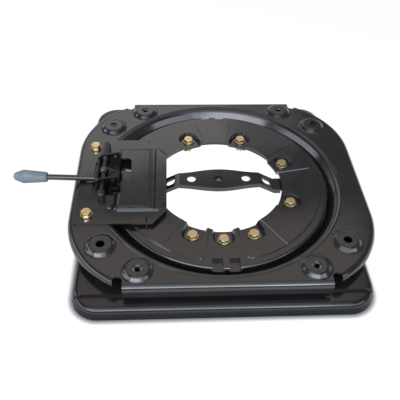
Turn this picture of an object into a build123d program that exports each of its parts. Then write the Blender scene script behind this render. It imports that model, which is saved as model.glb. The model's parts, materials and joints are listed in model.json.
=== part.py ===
from build123d import *
from math import asin, atan2, cos, degrees, hypot, radians, sin, sqrt, tan
import os

# Swivel seat base for a camper seat. Millimetres, Z up, Y away from the front,
# the swivel axis is the Z axis and the pan stands on the plane Z = 0.

# Base pan
pan_width = 396.0
pan_length = 427.0
pan_corner = 36.0
pan_shift = -3.5
pan_draft = 9.0
pan_height = 21.5
pan_sheet = 3.0
pan_bend = 8.0
ledge_width = 26.0
ledge_drop = 4.5
ledge_riser_run = 2.0
fix_edge_x = 32.0
fix_edge_y = 45.5
fix_hole = 10.5

# Middle hole and the collar round it
hole_radius = 95.5
hole_step = 7.0
collar_width = 32.5
collar_rise = 6.0
collar_run = 4.0

# Clamp ring, with raised sectors between its lock stations
ring_width = 68.0
ring_sheet = 3.0
ring_rise = 5.5
ring_bend = 4.0
ring_lip = 4.5
sector_margin = 11.5
sector_rise = 1.2
sector_slope = 40.0
sector_corner = 8.0
pad_rise = 0.8
pad_margin = 0.6
pad_corner = 2.0
station_half_angle = 11.0
station_count = 4

# Lock notches, two at each station
notch_width = 14.3
notch_pitch = 22.8
notch_length = 17.5
notch_proud = 1.0

# M8 bolts of the ring and of the cover
bolt_inset = 15.9
bolts_per_sector = 2
front_bolt_angle = -90.0
bolt_thread = 8.0
bolt_head_width = 13.0
bolt_head_height = 5.3
bolt_crown = 0.95
bolt_chamfer = 30.0
bolt_length = 20.0
bolt_turn = 15.0
bolt_play = 0.5
nut_height = 8.0
thread_gap = 0.05
washer_width = 17.0
washer_sheet = 1.6
pocket_radius = 12.0
pocket_slope = 28.0
cover_bolt_length = 16.0

# Glide rings and the running gap on each side of the turning flange
glide_sheet = 1.2
glide_width = 20.0
stop_glide_width = 5.5
glide_edge_gap = 0.5
run_gap = 0.1
collar_gap = 0.8

# Top plate
plate_sheet = 2.5
plate_rise = 6.5
side_land = 37.3
front_land = 18.8
round_land = 12.3
plate_corner = 130.0
plate_bend = 8.0
plate_lip = 10.0
flange_length = 267.0
flange_gap = 2.0
relief_width = 13.0
relief_depth = 19.0
cone_angle = 52.0
cone_gap = 1.5
cone_bend = 12.0
bend_land = 0.3

# Seat bosses, two bolt rectangles on the top plate
outer_boss_inset = 50.0
outer_boss_pitch = 254.4
inner_boss_inset_x = 18.7
inner_boss_inset_y = 28.5
seat_hole = 12.0
boss_height = 5.0
boss_foot = 41.0
boss_top = 29.0
boss_round = 5.0
seat_nut_width = 17.0
seat_nut_height = 8.0
seat_nut_bore = 8.5

# Cross bar
bar_sheet = 3.0
bar_rise = 13.0
bar_overlap = 22.5
bar_crank = 23.0
bar_foot = 34.0
bar_middle_width = 41.0
bar_neck_width = 28.0
bar_end_width = 26.0
bar_neck_inset = 15.0
bar_edge_depth = 8.0
bar_edge_end = 1.5
bar_hole = 13.0
bar_hole_inset = 20.0
bar_slot_length = 15.0
bar_slot_width = 12.0
bar_nut_hole = 12.0

# Latch pin, its saddles and clips
pivot_offset = 7.5
latch_y = 4.0
pin_size = 6.0
pin_front = 44.0
pin_back = 66.0
pin_rise = 7.0
pin_play = 0.1
saddle_wall = 2.4
saddle_gap = 0.1
saddle_edge = 1.0
clip_width = 10.0
clip_sheet = 1.5
clip_gap = 0.3

# Latch yoke, its heights and reaches taken from the pin
yoke_front_y = -17.0
yoke_width = 56.5
yoke_sheet = 3.5
yoke_gap = 0.7
ear_back = 11.0
ear_foot = 18.0
ear_front = 23.5
ear_nose_rise = 3.4
ear_top_inset = 1.5
ear_front_rise = 12.4
ear_back_rise = 7.0
ear_back_slant = 5.0
ear_shoulder_rise = 2.5
ear_round = 2.5
ear_hole = 5.5
ear_hole_x = 15.5
ear_hole_z = 5.0
rod_bar_rise = 1.5
tooth_bar_lift = 0.7
tooth_bar_start = 6.0
tooth_bar_end = 22.5
tooth_width = 11.0
tooth_length = 9.0
tooth_end = 22.0
tooth_clear = 0.6

# Lever rod and grip
rod_size = 8.4
rod_slope = 2.9
rod_dip = 14.0
rod_bend = 14.0
rod_y = -3.0
rod_start = 8.5
rod_knee = 17.0
rod_reach = 122.5
rod_rest_gap = 0.4
rod_play = 0.05
grip_length = 48.0
grip_size = 20.2
grip_neck_size = 12.8
grip_nose = 14.5
grip_tip_size = 5.6
grip_belly_round = 3.0
grip_tip_round = 2.5
grip_wall_end = 6.0

# Latch cover
cover_sheet = 2.5
cover_length = 180.0
cover_back = 35.0
cover_front = 93.0
cover_corner = 5.0
cover_chamfer_x = 19.0
cover_chamfer_y = 24.0
deck_rise = 4.0
deck_slope = 55.0
deck_length = 136.0
deck_start = 18.0
deck_bend = 10.0
deck_corner_inset = 7.0
deck_corner = 8.0
step_start = 66.0
step_width = 5.0
step_drop = 1.5
groove_x = 76.0
groove_width = 2.4
groove_depth = 1.2
window_back = 15.0
window_front = 40.0
window_length = 76.0
window_corner = 9.0
rod_slot_depth = 5.0
rod_slot_gap = 2.0
cover_bolt_x = 18.0
cover_bolt_pitch = 144.0
slit_x = 65.0
slit_length = 11.0
slit_width = 1.4
slit_edge = 1.5
bump_width = 9.8
bump_length = 14.0
bump_rise = 3.5
bump_round = 3.4
bump_x = 12.5
bump_y = -61.0

# Return spring on the pin
spring_wire = 1.6
spring_sides = 8
spring_turns = 4
spring_pitch = 2.2
spring_gap = 0.6
spring_leg = 15.0
spring_seat_gap = 0.3
spring_y = 14.0

# How near an edge lies to a height to be picked, and how far a cut runs past a face
pick = 0.01
over = 1.0

# Heights, worked out from the floor up
collar_top = pan_height + collar_rise
pocket_floor = collar_top + ring_sheet
ring_top = pocket_floor + ring_rise
ring_under = ring_top - ring_sheet
sector_top = ring_top + sector_rise
pad_top = sector_top + pad_rise
flange_under = pan_height + glide_sheet + run_gap
flange_top = flange_under + plate_sheet
plate_top = ring_top + plate_rise
plate_under = plate_top - plate_sheet
boss_face = plate_top + boss_height
cover_face = plate_top + cover_sheet
deck_top = cover_face + deck_rise

# Radii, from the middle hole outwards
collar_radius = hole_radius + collar_width
bolt_circle = hole_radius + bolt_inset
ring_radius = hole_radius + ring_width
sector_radius = ring_radius - sector_margin
pad_radius = sector_radius - sector_rise * tan(radians(sector_slope)) - pad_margin
notch_start = ring_radius - notch_length
notch_end = ring_radius + notch_proud
cone_slope = tan(radians(cone_angle))
cone_radius = notch_end + cone_gap + (plate_top - collar_top) / cone_slope
flange_radius = cone_radius - (plate_top - flange_top) / cone_slope
flange_inner = collar_radius + collar_run + collar_gap
bend_shift = plate_sheet * tan(radians(cone_angle / 2))
bend_radius = cone_radius + cone_bend * tan(radians(cone_angle / 2))
open_radius = bend_radius + bend_land
pocket_wall = ring_sheet * (1 / cos(radians(pocket_slope)) - tan(radians(pocket_slope)))

# Outline of the top plate and its bolt rectangles
plate_width = 2 * (cone_radius + side_land)
plate_length = 2 * (cone_radius + front_land)
outer_boss_x = plate_width - 2 * outer_boss_inset
inner_boss_x = flange_length - 2 * inner_boss_inset_x
inner_boss_y = plate_length - 2 * inner_boss_inset_y
corner_reach = plate_corner - boss_foot / 2 - round_land
corner_y = outer_boss_pitch / 2 - sqrt(corner_reach ** 2 - (plate_corner - outer_boss_inset) ** 2)
plate_square = 2 * (corner_y + plate_corner)
boss_side = degrees(atan2((boss_foot - boss_top) / 2, boss_height))
boss_land = boss_foot / 2 + boss_round * tan(radians(90 - boss_side) / 2) + bend_land

# Cross bar, with its feet on the collar
bar_end = hole_radius + bar_overlap
bar_flat = bar_end - bar_foot - bar_crank

# Latch axis and what turns on it
pivot_x = -(ring_radius + pivot_offset)
pivot_z = cover_face + pin_rise
yoke_under = plate_top + yoke_gap
yoke_back_y = yoke_front_y + yoke_width
tooth_bar_under = yoke_under + tooth_bar_lift
tooth_bar_top = tooth_bar_under + yoke_sheet
tooth_tip = pad_top + tooth_clear


def prism(sketch, low, high, taper=0.0):
    """Raise a flat sketch from one height to another, with a side slope."""
    return extrude(Pos(0, 0, low) * sketch, amount=high - low, taper=taper)


def tube(outer, inner, low, high):
    """A plain ring about the swivel axis."""
    return prism(Circle(outer) - Circle(inner), low, high)


def turned(points):
    """Revolve a radius and height outline about the swivel axis."""
    return revolve(Plane.XZ * make_face(Polyline(*points, close=True)), Axis.Z)


def side_plate(points, low_y, high_y):
    """A plate from an outline in X and Z, between two Y planes."""
    face = make_face(Polyline(*points, close=True))
    return extrude(Plane.XZ.offset(-high_y) * face, amount=high_y - low_y)


def rod_y_axis(radius, x, z, low_y, high_y):
    """A round bar along Y."""
    return extrude(Plane.XZ.offset(-high_y) * Pos(x, z) * Circle(radius), amount=high_y - low_y)


def corners(size_x, size_y):
    """The four corner points of a rectangle about the axis."""
    return [(x * size_x / 2, y * size_y / 2) for x in (-1, 1) for y in (-1, 1)]


def on_circle(radius, angle):
    """A point at an angle in degrees on a circle about the axis."""
    return radius * cos(radians(angle)), radius * sin(radians(angle))


def group(shapes):
    """Keep like pieces as separate solids of one node."""
    return Compound(children=list(shapes))


# Where the bolts and stations are
station_angles = [360 / station_count * k for k in range(station_count)]
bolt_step = 360 / station_count / bolts_per_sector
bolt_angles = [bolt_step * (k + 0.5) for k in range(station_count * bolts_per_sector)]
ring_bolt_angles = bolt_angles + [front_bolt_angle]
ring_bolt_points = [on_circle(bolt_circle, angle) for angle in ring_bolt_angles]
outer_boss_points = corners(outer_boss_x, outer_boss_pitch)
inner_boss_points = corners(inner_boss_x, inner_boss_y)
cover_bolt_points = [(pivot_x - cover_bolt_x, side * cover_bolt_pitch / 2) for side in (-1, 1)]
bolt_hole = bolt_thread / 2 + bolt_play


def pan_block(inset, high):
    """The pan's outline raised to one height, with a round upper edge."""
    foot = RectangleRounded(pan_width - 2 * inset, pan_length - 2 * inset, pan_corner - inset)
    block = prism(Pos(pan_shift, 0) * foot, 0, high, pan_draft)
    return fillet(block.faces().sort_by(Axis.Z)[-1].edges(), pan_bend - inset)


def pan_form(inset):
    """The outer or inner form of the pan, with its low front ledge."""
    top = pan_height - inset
    ledge_top = top - ledge_drop
    riser_y = -pan_length / 2 + ledge_width + inset
    foot_y = riser_y - ledge_riser_run
    high = top + ledge_drop
    low_side = [(-pan_length, 0), (foot_y, 0), (foot_y, ledge_top), (riser_y, high), (-pan_length, high)]
    front = extrude(
        Plane.YZ.offset(-pan_width) * make_face(Polyline(*low_side, close=True)), amount=2 * pan_width
    )
    return (pan_block(inset, top) - front) + (pan_block(inset, ledge_top) & front)


def collar_form(foot_radius, foot_z, edge_radius, edge_z):
    """The raised round bolting face of the pan, as a full form."""
    return turned([(0, 0), (foot_radius, 0), (foot_radius, foot_z), (edge_radius, edge_z), (0, edge_z)])


def make_base_pan():
    """Pressed pan with skirt, front ledge, collar and fixing holes."""
    outer = pan_form(0)
    inner = pan_form(pan_sheet)
    foot = collar_radius + collar_run
    outer += collar_form(foot, pan_height, collar_radius, collar_top)
    inner += collar_form(
        foot - pan_sheet, pan_height - pan_sheet, collar_radius - pan_sheet, collar_top - pan_sheet
    )
    pan = outer - inner - prism(Circle(hole_radius + hole_step), 0, collar_top)
    for x, y in ring_bolt_points:
        pan -= prism(Pos(x, y) * Circle(bolt_hole), 0, collar_top)
    for x, y in corners(pan_width - 2 * fix_edge_x, pan_length - 2 * fix_edge_y):
        pan -= prism(Pos(x + pan_shift, y) * Circle(fix_hole / 2), 0, pan_height)
    return pan


def sector_face(angle, half, radius, corner):
    """A raised piece of the ring, between two radial lines and out to a radius."""
    reach = 2 * radius
    wedge = make_face(
        Polyline((0, 0), on_circle(reach, angle - half), on_circle(reach, angle + half), close=True)
    )
    face = (Circle(radius) - Circle(hole_radius - ring_sheet)) & wedge
    outer = face.vertices().filter_by(lambda point: hypot(point.X, point.Y) > radius - pick)
    return fillet(outer, corner)


def pocket_face(angle, grow):
    """A bolt pocket, open towards the middle hole."""
    radius = pocket_radius + grow
    reach = bolt_circle - hole_radius + 2 * pocket_radius
    slot = Circle(radius) + Pos(-reach / 2, 0) * Rectangle(reach, 2 * radius)
    return Rot(0, 0, angle) * Pos(bolt_circle, 0) * slot


def notch_face(angle, side, start, end, width):
    """A lock notch beside the middle line of a station."""
    middle = Pos((start + end) / 2, side * notch_pitch / 2)
    return Rot(0, 0, angle) * middle * Rectangle(end - start, width)


def make_clamp_ring():
    """Pressed ring with rim, raised sectors, bolt pockets and lock notches."""
    lip_inner = ring_radius - ring_sheet
    lip_under = ring_top - ring_lip
    ring = turned([
        (hole_radius - ring_sheet, ring_top),
        (ring_radius, ring_top),
        (ring_radius, lip_under),
        (lip_inner, lip_under),
        (lip_inner, ring_under),
        (hole_radius - ring_sheet, ring_under),
    ])
    rim = ring.edges().filter_by(GeomType.CIRCLE).sort_by(SortBy.RADIUS)[-2:].sort_by(Axis.Z)[-1:]
    ring = fillet(rim, ring_bend)
    half = 180 / station_count - station_half_angle
    middles = [angle + 180 / station_count for angle in station_angles]
    sectors = [sector_face(angle, half, sector_radius, sector_corner) for angle in middles]
    for face in sectors:
        ring += prism(face, ring_top, sector_top, sector_slope)
    for face in sectors:
        ring -= prism(face, ring_under, ring_under + sector_rise, sector_slope)
    notches = [(angle, side) for angle in station_angles for side in (-1, 1)]
    cup_start = notch_start - ring_sheet
    for angle, side in notches:
        cup = notch_face(angle, side, cup_start, notch_end, notch_width + 2 * ring_sheet)
        ring += prism(cup, collar_top, ring_under) & prism(Circle(notch_end), 0, ring_top)
    for angle in ring_bolt_angles:
        ring += prism(pocket_face(angle, pocket_wall), collar_top, ring_top, -pocket_slope)
    for angle in middles:
        pad = sector_face(angle, station_half_angle, pad_radius, pad_corner)
        ring += prism(pad, sector_top, pad_top, sector_slope)
    for angle in ring_bolt_angles:
        ring -= prism(pocket_face(angle, 0), pocket_floor, pad_top + over, -pocket_slope)
    for angle, side in notches:
        pocket = notch_face(angle, side, notch_start, notch_end + ring_sheet, notch_width)
        ring -= prism(pocket, pocket_floor, sector_top)
    ring -= prism(Circle(hole_radius), 0, pad_top + over)
    for x, y in ring_bolt_points:
        ring -= prism(Pos(x, y) * Circle(bolt_hole), 0, ring_top)
    return ring


def hex_bolt(seat, length):
    """A hexagon bolt with its head on a seat height, shank downwards."""
    top = seat + bolt_head_height
    head = prism(RegularPolygon(bolt_head_width / 2, 6, major_radius=False), seat, top)
    crown = Circle(bolt_head_width / 2 * bolt_crown + bolt_head_height / tan(radians(bolt_chamfer)))
    head &= prism(crown, seat, top, 90 - bolt_chamfer)
    return head + prism(Circle(bolt_thread / 2), seat - length, seat)


def hex_nut(width, bore, low, high):
    """A plain hexagon nut."""
    return prism(RegularPolygon(width / 2, 6, major_radius=False) - Circle(bore / 2), low, high)


def washer(low):
    """A plain washer under a bolt head."""
    return prism(Circle(washer_width / 2) - Circle(bolt_hole), low, low + washer_sheet)


def make_ring_bolts():
    """The nine bolts of the clamp ring."""
    bolt = hex_bolt(pocket_floor + washer_sheet, bolt_length)
    return group(Pos(x, y) * Rot(0, 0, bolt_turn) * bolt for x, y in ring_bolt_points)


def make_ring_washers():
    """The washers under the ring bolts."""
    return group(Pos(x, y) * washer(pocket_floor) for x, y in ring_bolt_points)


def make_ring_nuts():
    """The nuts below the collar."""
    high = collar_top - pan_sheet
    nut = hex_nut(bolt_head_width, bolt_thread + 2 * thread_gap, high - nut_height, high)
    return group(Pos(x, y) * nut for x, y in ring_bolt_points)


def make_lower_glide():
    """Flat glide ring between the pan and the turning flange."""
    inner = flange_inner + glide_edge_gap
    return tube(inner + glide_width, inner, pan_height, pan_height + glide_sheet)


def make_upper_glide():
    """Glide ring between the turning flange and the clamp ring."""
    inner = flange_inner + glide_edge_gap
    return tube(inner + stop_glide_width, inner, flange_top + run_gap, ring_under)


def bar_outline(inset):
    """Plan outline of the cross bar, drawn from its half widths."""
    middle = bar_middle_width / 2 - inset
    neck = bar_neck_width / 2 - inset
    tip = bar_end_width / 2 - inset
    neck_x = bar_flat - bar_neck_inset
    edge = Spline((0, middle), (neck_x, neck), (bar_end, tip), tangents=[(1, 0), (1, 0)])
    right = [edge, Line((bar_end, tip), (bar_end, -tip)), mirror(edge, Plane.XZ)]
    left = [mirror(side, Plane.YZ) for side in right]
    return make_face(right + left)


def bar_band(top, depth):
    """The cranked side form of the bar, as a thick band along Y."""
    crank = bar_flat + bar_crank
    low = top - bar_rise
    line = [(-bar_end, low), (-crank, low), (-bar_flat, top), (bar_flat, top), (crank, low), (bar_end, low)]
    under = [(x, z - depth) for x, z in reversed(line)]
    return side_plate(line + under, -bar_middle_width, bar_middle_width)


def make_cross_bar():
    """Cranked strap across the hole, lying on the collar with its feet."""
    top = collar_top + bar_sheet + bar_rise
    plan = bar_outline(0)
    bar = bar_band(top, bar_sheet) & prism(plan, 0, top)
    edge = prism(plan - bar_outline(bar_sheet), 0, top)
    edge &= prism(Rectangle(2 * (hole_radius - bar_edge_end), bar_middle_width), 0, top)
    bar += bar_band(top, bar_edge_depth) & edge
    slope = degrees(atan2(bar_rise, bar_crank))
    slot = extrude(SlotOverall(bar_slot_length, bar_slot_width), amount=bar_rise, both=True)
    for side in (-1, 1):
        bar -= prism(Pos(side * (bar_flat - bar_hole_inset), 0) * Circle(bar_hole / 2), 0, top)
        middle = Pos(side * (bar_flat + bar_crank / 2), 0, top - bar_rise / 2)
        bar -= middle * Rot(0, side * slope, 0) * slot
    return bar - prism(Circle(bar_nut_hole / 2), 0, top)


def make_bar_weld_nut():
    """Nut welded under the middle of the cross bar."""
    high = collar_top + bar_rise
    return hex_nut(seat_nut_width, seat_nut_bore, high - seat_nut_height, high)


def plate_form(inset, low_lip, low_flange, high):
    """Outer or inner forms of the plate's disc and of its flanged front and back, with round bends."""
    bend = plate_bend - inset
    outline = RectangleRounded(plate_width - 2 * inset, plate_square - 2 * inset, plate_corner - inset)
    disc = prism(outline, low_lip, high)
    disc = fillet(disc.faces().sort_by(Axis.Z)[-1].edges(), bend)
    disc &= prism(Rectangle(plate_width, plate_length - 2 * plate_bend - 2 * over), low_lip, high)
    tongue = prism(Rectangle(flange_length, plate_length - 2 * inset), low_flange, high)
    ends = tongue.faces().sort_by(Axis.Z)[-1].edges().filter_by(Axis.X)
    return disc, fillet(ends, bend)


def cone_form():
    """The cone and the turning flange inside the top plate, with a round upper bend."""
    section = make_face(Polyline(
        (open_radius, plate_top),
        (cone_radius, plate_top),
        (flange_radius, flange_top),
        (flange_inner, flange_top),
        (flange_inner, flange_under),
        (flange_radius + bend_shift, flange_under),
        (cone_radius + bend_shift, plate_under),
        (open_radius, plate_under),
        close=True,
    ))
    bend = section.vertices().sort_by_distance((cone_radius, plate_top))[0]
    section = fillet(bend, cone_bend)
    bend = section.vertices().sort_by_distance((cone_radius + bend_shift, plate_under))[0]
    return revolve(Plane.XZ * fillet(bend, cone_bend - plate_sheet), Axis.Z)


def boss_form():
    """A seat boss on its piece of plate, with a round foot and crown."""
    section = make_face(Polyline(
        (0, plate_under),
        (boss_land, plate_under),
        (boss_land, plate_top),
        (boss_foot / 2, plate_top),
        (boss_top / 2, boss_face),
        (0, boss_face),
        close=True,
    ))
    crown = section.vertices().sort_by_distance((boss_top / 2, boss_face))[0]
    section = fillet(crown, boss_round)
    foot = section.vertices().sort_by_distance((boss_foot / 2, plate_top))[0]
    return revolve(Plane.XZ * fillet(foot, boss_round), Axis.Z)


def relief_face(side):
    """The round-ended slot between a flange and the disc, open towards the plate's edge."""
    middle = Pos(0, side * relief_depth)
    return Circle(relief_width / 2) + middle * Rectangle(relief_width, 2 * relief_depth)


def make_top_plate():
    """Pressed plate with lips, flanges, seat bosses, cone and turning flange."""
    lip_under = plate_top - plate_lip
    flange_low = pan_height + flange_gap
    disc, tongue = plate_form(0, lip_under, flange_low, plate_top)
    inner_disc, inner_tongue = plate_form(plate_sheet, lip_under - over, flange_low - over, plate_under)
    plate = disc + tongue - inner_disc - inner_tongue
    plate -= prism(Circle(open_radius), 0, plate_top)
    plate += cone_form()
    relief_x = flange_length + relief_width
    relief_y = plate_length - 2 * relief_depth + relief_width
    for x, y in corners(relief_x, relief_y):
        side = 1 if y > 0 else -1
        plate -= prism(Pos(x, y) * relief_face(side), 0, plate_top)
    boss = boss_form()
    dish = prism(Circle(boss_foot / 2), plate_under, boss_face - plate_sheet, boss_side)
    dish += prism(Circle(boss_foot / 2), plate_under - plate_sheet, plate_under)
    points = outer_boss_points + inner_boss_points
    for x, y in points:
        plate += Pos(x, y) * boss
    for x, y in points:
        plate -= Pos(x, y) * dish
        plate -= prism(Pos(x, y) * Circle(seat_hole / 2), 0, boss_face)
    for x, y in cover_bolt_points:
        plate -= prism(Pos(x, y) * Circle(bolt_hole), 0, plate_top)
    return plate


def make_seat_weld_nuts():
    """Nuts welded under the four inner seat bosses."""
    high = boss_face - plate_sheet
    nut = hex_nut(seat_nut_width, seat_nut_bore, high - seat_nut_height, high)
    return group(Pos(x, y) * nut for x, y in inner_boss_points)


def cover_plan():
    """Plan outline of the latch cover."""
    back = pivot_x - cover_back
    front = pivot_x + cover_front
    half = cover_length / 2
    outline = make_face(Polyline(
        (back, -half),
        (front - cover_chamfer_x, -half),
        (front, -half + cover_chamfer_y),
        (front, half - cover_chamfer_y),
        (front - cover_chamfer_x, half),
        (back, half),
        close=True,
    ))
    return fillet(outline.vertices().sort_by(Axis.X)[:2], cover_corner)


def deck_form():
    """The raised deck of the cover, with sloping sides."""
    start = pivot_x + deck_start
    front = pivot_x + cover_front
    half = deck_length / 2
    run = cover_chamfer_x / cover_chamfer_y
    edge = hypot(cover_chamfer_x, cover_chamfer_y)
    corner_y = cover_length / 2 - cover_chamfer_y
    far_x = front + deck_corner_inset
    line_x = front - deck_corner_inset * cover_chamfer_y / edge
    line_y = corner_y - deck_corner_inset * cover_chamfer_x / edge
    near_x = line_x - (half - line_y) * run
    far_y = line_y - (far_x - line_x) / run
    outline = make_face(Polyline(
        (start, -half),
        (near_x, -half),
        (far_x, -far_y),
        (far_x, far_y),
        (near_x, half),
        (start, half),
        close=True,
    ))
    outline = fillet(outline.vertices().sort_by(Axis.X)[:2], deck_corner)
    deck = prism(outline, cover_face, deck_top, deck_slope)
    top = deck.faces().sort_by(Axis.Z)[-1]
    return fillet(top.edges().filter_by(lambda line: line.center().X < front), deck_bend)


def stop_bump():
    """The small long dome pressed up beside the deck."""
    slot = Rot(0, 0, 90) * SlotOverall(bump_length, bump_width)
    middle = Pos(pivot_x + bump_x, latch_y + bump_y)
    bump = prism(middle * slot, cover_face - cover_sheet / 2, cover_face + bump_rise)
    return fillet(bump.faces().sort_by(Axis.Z)[-1].edges(), bump_round)


def make_latch_cover():
    """Pressed cover with deck, step, groove, slits and the window of the latch."""
    plan = cover_plan()
    deck = deck_form()
    cover = prism(plan, plate_top, cover_face) + (deck & prism(plan, plate_top, deck_top))
    cover -= Pos(0, 0, -cover_sheet) * deck
    step_x = pivot_x + step_start
    end = pivot_x + cover_front + over
    low = deck_top - step_drop
    high = deck_top + over
    step = [(step_x, deck_top), (step_x + step_width, low), (end, low), (end, high), (step_x, high)]
    half = deck_length / 2
    cover -= side_plate(step, -half, half)
    groove = pivot_x + groove_x
    far = groove + groove_width
    near = groove - groove_width
    cover -= side_plate([(groove, low - groove_depth), (far, deck_top), (near, deck_top)], -half, half)
    window = RectangleRounded(window_back + window_front, window_length, window_corner)
    window = Pos(pivot_x + (window_front - window_back) / 2, latch_y) * window
    slot_width = rod_size + 2 * rod_slot_gap
    slot = SlotOverall(2 * rod_slot_depth + slot_width, slot_width)
    window += Pos(pivot_x - window_back, rod_y) * slot
    cover -= prism(window, 0, deck_top)
    slit = Rectangle(slit_width, slit_length)
    slit_y = cover_length / 2 - slit_edge - slit_length / 2
    for side in (-1, 1):
        cover -= prism(Pos(pivot_x + slit_x, side * slit_y) * slit, 0, deck_top)
    for x, y in cover_bolt_points:
        cover -= prism(Pos(x, y) * Circle(bolt_hole), 0, deck_top)
    return cover + stop_bump()


def make_cover_bolts():
    """The two bolts of the cover."""
    bolt = hex_bolt(cover_face + washer_sheet, cover_bolt_length)
    return group(Pos(x, y) * bolt for x, y in cover_bolt_points)


def make_cover_washers():
    """The washers under the cover bolts."""
    return group(Pos(x, y) * washer(cover_face) for x, y in cover_bolt_points)


def make_cover_nuts():
    """The nuts of the cover bolts, below the top plate."""
    nut = hex_nut(bolt_head_width, bolt_thread + 2 * thread_gap, plate_under - nut_height, plate_under)
    return group(Pos(x, y) * nut for x, y in cover_bolt_points)


def make_pivot_pin():
    """Pin that the latch turns on."""
    return rod_y_axis(pin_size / 2, pivot_x, pivot_z, latch_y - pin_front, latch_y + pin_back)


def make_pin_saddles():
    """The two half-round blocks on the cover that hold the ends of the pin."""
    width = pin_size / 2 + saddle_wall
    saddles = []
    for side, reach in ((-1, pin_front), (1, pin_back)):
        near = latch_y + side * (window_length / 2 + saddle_edge)
        far = latch_y + side * (reach + saddle_gap)
        low, high = sorted((near, far))
        saddle = rod_y_axis(width, pivot_x, pivot_z, low, high)
        foot = Pos(pivot_x, (low + high) / 2) * Rectangle(2 * width, high - low)
        saddle += prism(foot, cover_face, pivot_z)
        saddle += Pos(pivot_x, far, pivot_z) * Sphere(width)
        saddle += prism(Pos(pivot_x, far) * Circle(width), cover_face, pivot_z)
        bore = sorted((near - side * width, far))
        saddles.append(saddle - rod_y_axis(pin_size / 2 + saddle_gap, pivot_x, pivot_z, *bore))
    return group(saddles)


def make_pin_clips():
    """Push-on clips that keep the yoke in its place on the pin."""
    front = yoke_front_y + yoke_sheet + clip_gap
    back = yoke_back_y - yoke_sheet - clip_gap - clip_sheet
    bore = pin_size / 2 + saddle_gap
    clips = []
    for low in (front, back):
        clip = rod_y_axis(clip_width / 2, pivot_x, pivot_z, low, low + clip_sheet)
        clips.append(clip - rod_y_axis(bore, pivot_x, pivot_z, low, low + clip_sheet))
    return group(clips)


def make_return_spring():
    """Coil spring round the pin, one leg on the tooth bar and one on the bend of the plate's cone."""
    mean = pin_size / 2 + spring_gap + spring_wire / 2
    seat_z = tooth_bar_top + spring_seat_gap + spring_wire / 2 - pivot_z
    turn = degrees(atan2(spring_leg, mean) + asin(seat_z / hypot(spring_leg, mean)))
    turns = spring_turns + (180 - turn) / 360
    coil = Helix(spring_pitch, turns * spring_pitch, mean)
    foot_radius = mean + spring_wire / 2 - pivot_x
    bend_drop = cone_bend - sqrt(cone_bend ** 2 - (bend_radius - foot_radius) ** 2)
    foot_z = plate_top - bend_drop + spring_seat_gap
    start = coil @ 0 - (coil % 0) * spring_leg
    end = coil @ 1 + (coil % 1) * (pivot_z - foot_z)
    path = Wire([Line(start, coil @ 0), coil, Line(coil @ 1, end)])
    section = RegularPolygon(spring_wire / 2, spring_sides)
    spring = sweep(Plane(origin=start, z_dir=path % 0) * section, path=path)
    return Pos(pivot_x, spring_y, pivot_z) * Rot(90, 0, 0) * Rot(0, 0, turn) * spring


def ear_face():
    """Side outline of a yoke ear, with its pin hole left to the caller."""
    ear = make_face(Polyline(
        (pivot_x - ear_back, yoke_under),
        (pivot_x + ear_foot, yoke_under),
        (pivot_x + ear_front, pivot_z + ear_nose_rise),
        (pivot_x + ear_front - ear_top_inset, pivot_z + ear_front_rise),
        (pivot_x - ear_back + ear_back_slant, pivot_z + ear_back_rise),
        (pivot_x - ear_back, pivot_z + ear_shoulder_rise),
        close=True,
    ))
    upper = ear.vertices().filter_by(lambda point: point.Y > yoke_under + pick)
    ear = fillet(upper, ear_round)
    return ear - Pos(pivot_x + ear_hole_x, pivot_z + ear_hole_z) * Circle(ear_hole / 2)


def make_latch_yoke():
    """Two ears, a tooth bar with two teeth, and a bar for the lever rod."""
    back = pivot_x - ear_back
    ear = ear_face()
    yoke = extrude(Plane.XZ.offset(-yoke_back_y) * ear, amount=yoke_sheet)
    yoke += extrude(Plane.XZ.offset(-yoke_front_y - yoke_sheet) * ear, amount=yoke_sheet)
    rod_bar = Pos(back + yoke_sheet / 2, yoke_front_y + yoke_width / 2) * Rectangle(yoke_sheet, yoke_width)
    yoke += prism(rod_bar, yoke_under, pivot_z + rod_bar_rise)
    tooth_bar_width = tooth_bar_end - tooth_bar_start
    middle_x = pivot_x + (tooth_bar_start + tooth_bar_end) / 2
    tooth_bar = Pos(middle_x, yoke_front_y + yoke_width / 2) * Rectangle(tooth_bar_width, yoke_width)
    yoke += prism(tooth_bar, tooth_bar_under, tooth_bar_top)
    for side in (-1, 1):
        tooth = Pos(pivot_x + tooth_end - tooth_length / 2, side * notch_pitch / 2)
        yoke += prism(tooth * Rectangle(tooth_length, tooth_width), tooth_tip, tooth_bar_under)
    yoke -= rod_y_axis(pin_size / 2 + pin_play, pivot_x, pivot_z, yoke_front_y, yoke_back_y)
    return yoke - rod_solid(rod_size / 2 + rod_play)


def rod_points():
    """Inner end, knee and outer end of the rod's centre line."""
    knee_x = pivot_x - rod_knee
    knee_z = cover_face + rod_size / 2 + rod_rest_gap
    inner_x = pivot_x - rod_start
    inner_z = knee_z - (inner_x - knee_x) * tan(radians(rod_dip))
    outer_x = pivot_x - rod_reach
    outer_z = knee_z + (knee_x - outer_x) * tan(radians(rod_slope))
    return (inner_x, rod_y, inner_z), (knee_x, rod_y, knee_z), (outer_x, rod_y, outer_z)


def rod_solid(radius):
    """The bent round bar of the lever."""
    path = FilletPolyline(*rod_points(), radius=rod_bend)
    return sweep(Plane(origin=path @ 0, z_dir=path % 0) * Circle(radius), path=path)


def make_lever_rod():
    """Bent round bar from the yoke to the grip."""
    return rod_solid(rod_size / 2)


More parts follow.
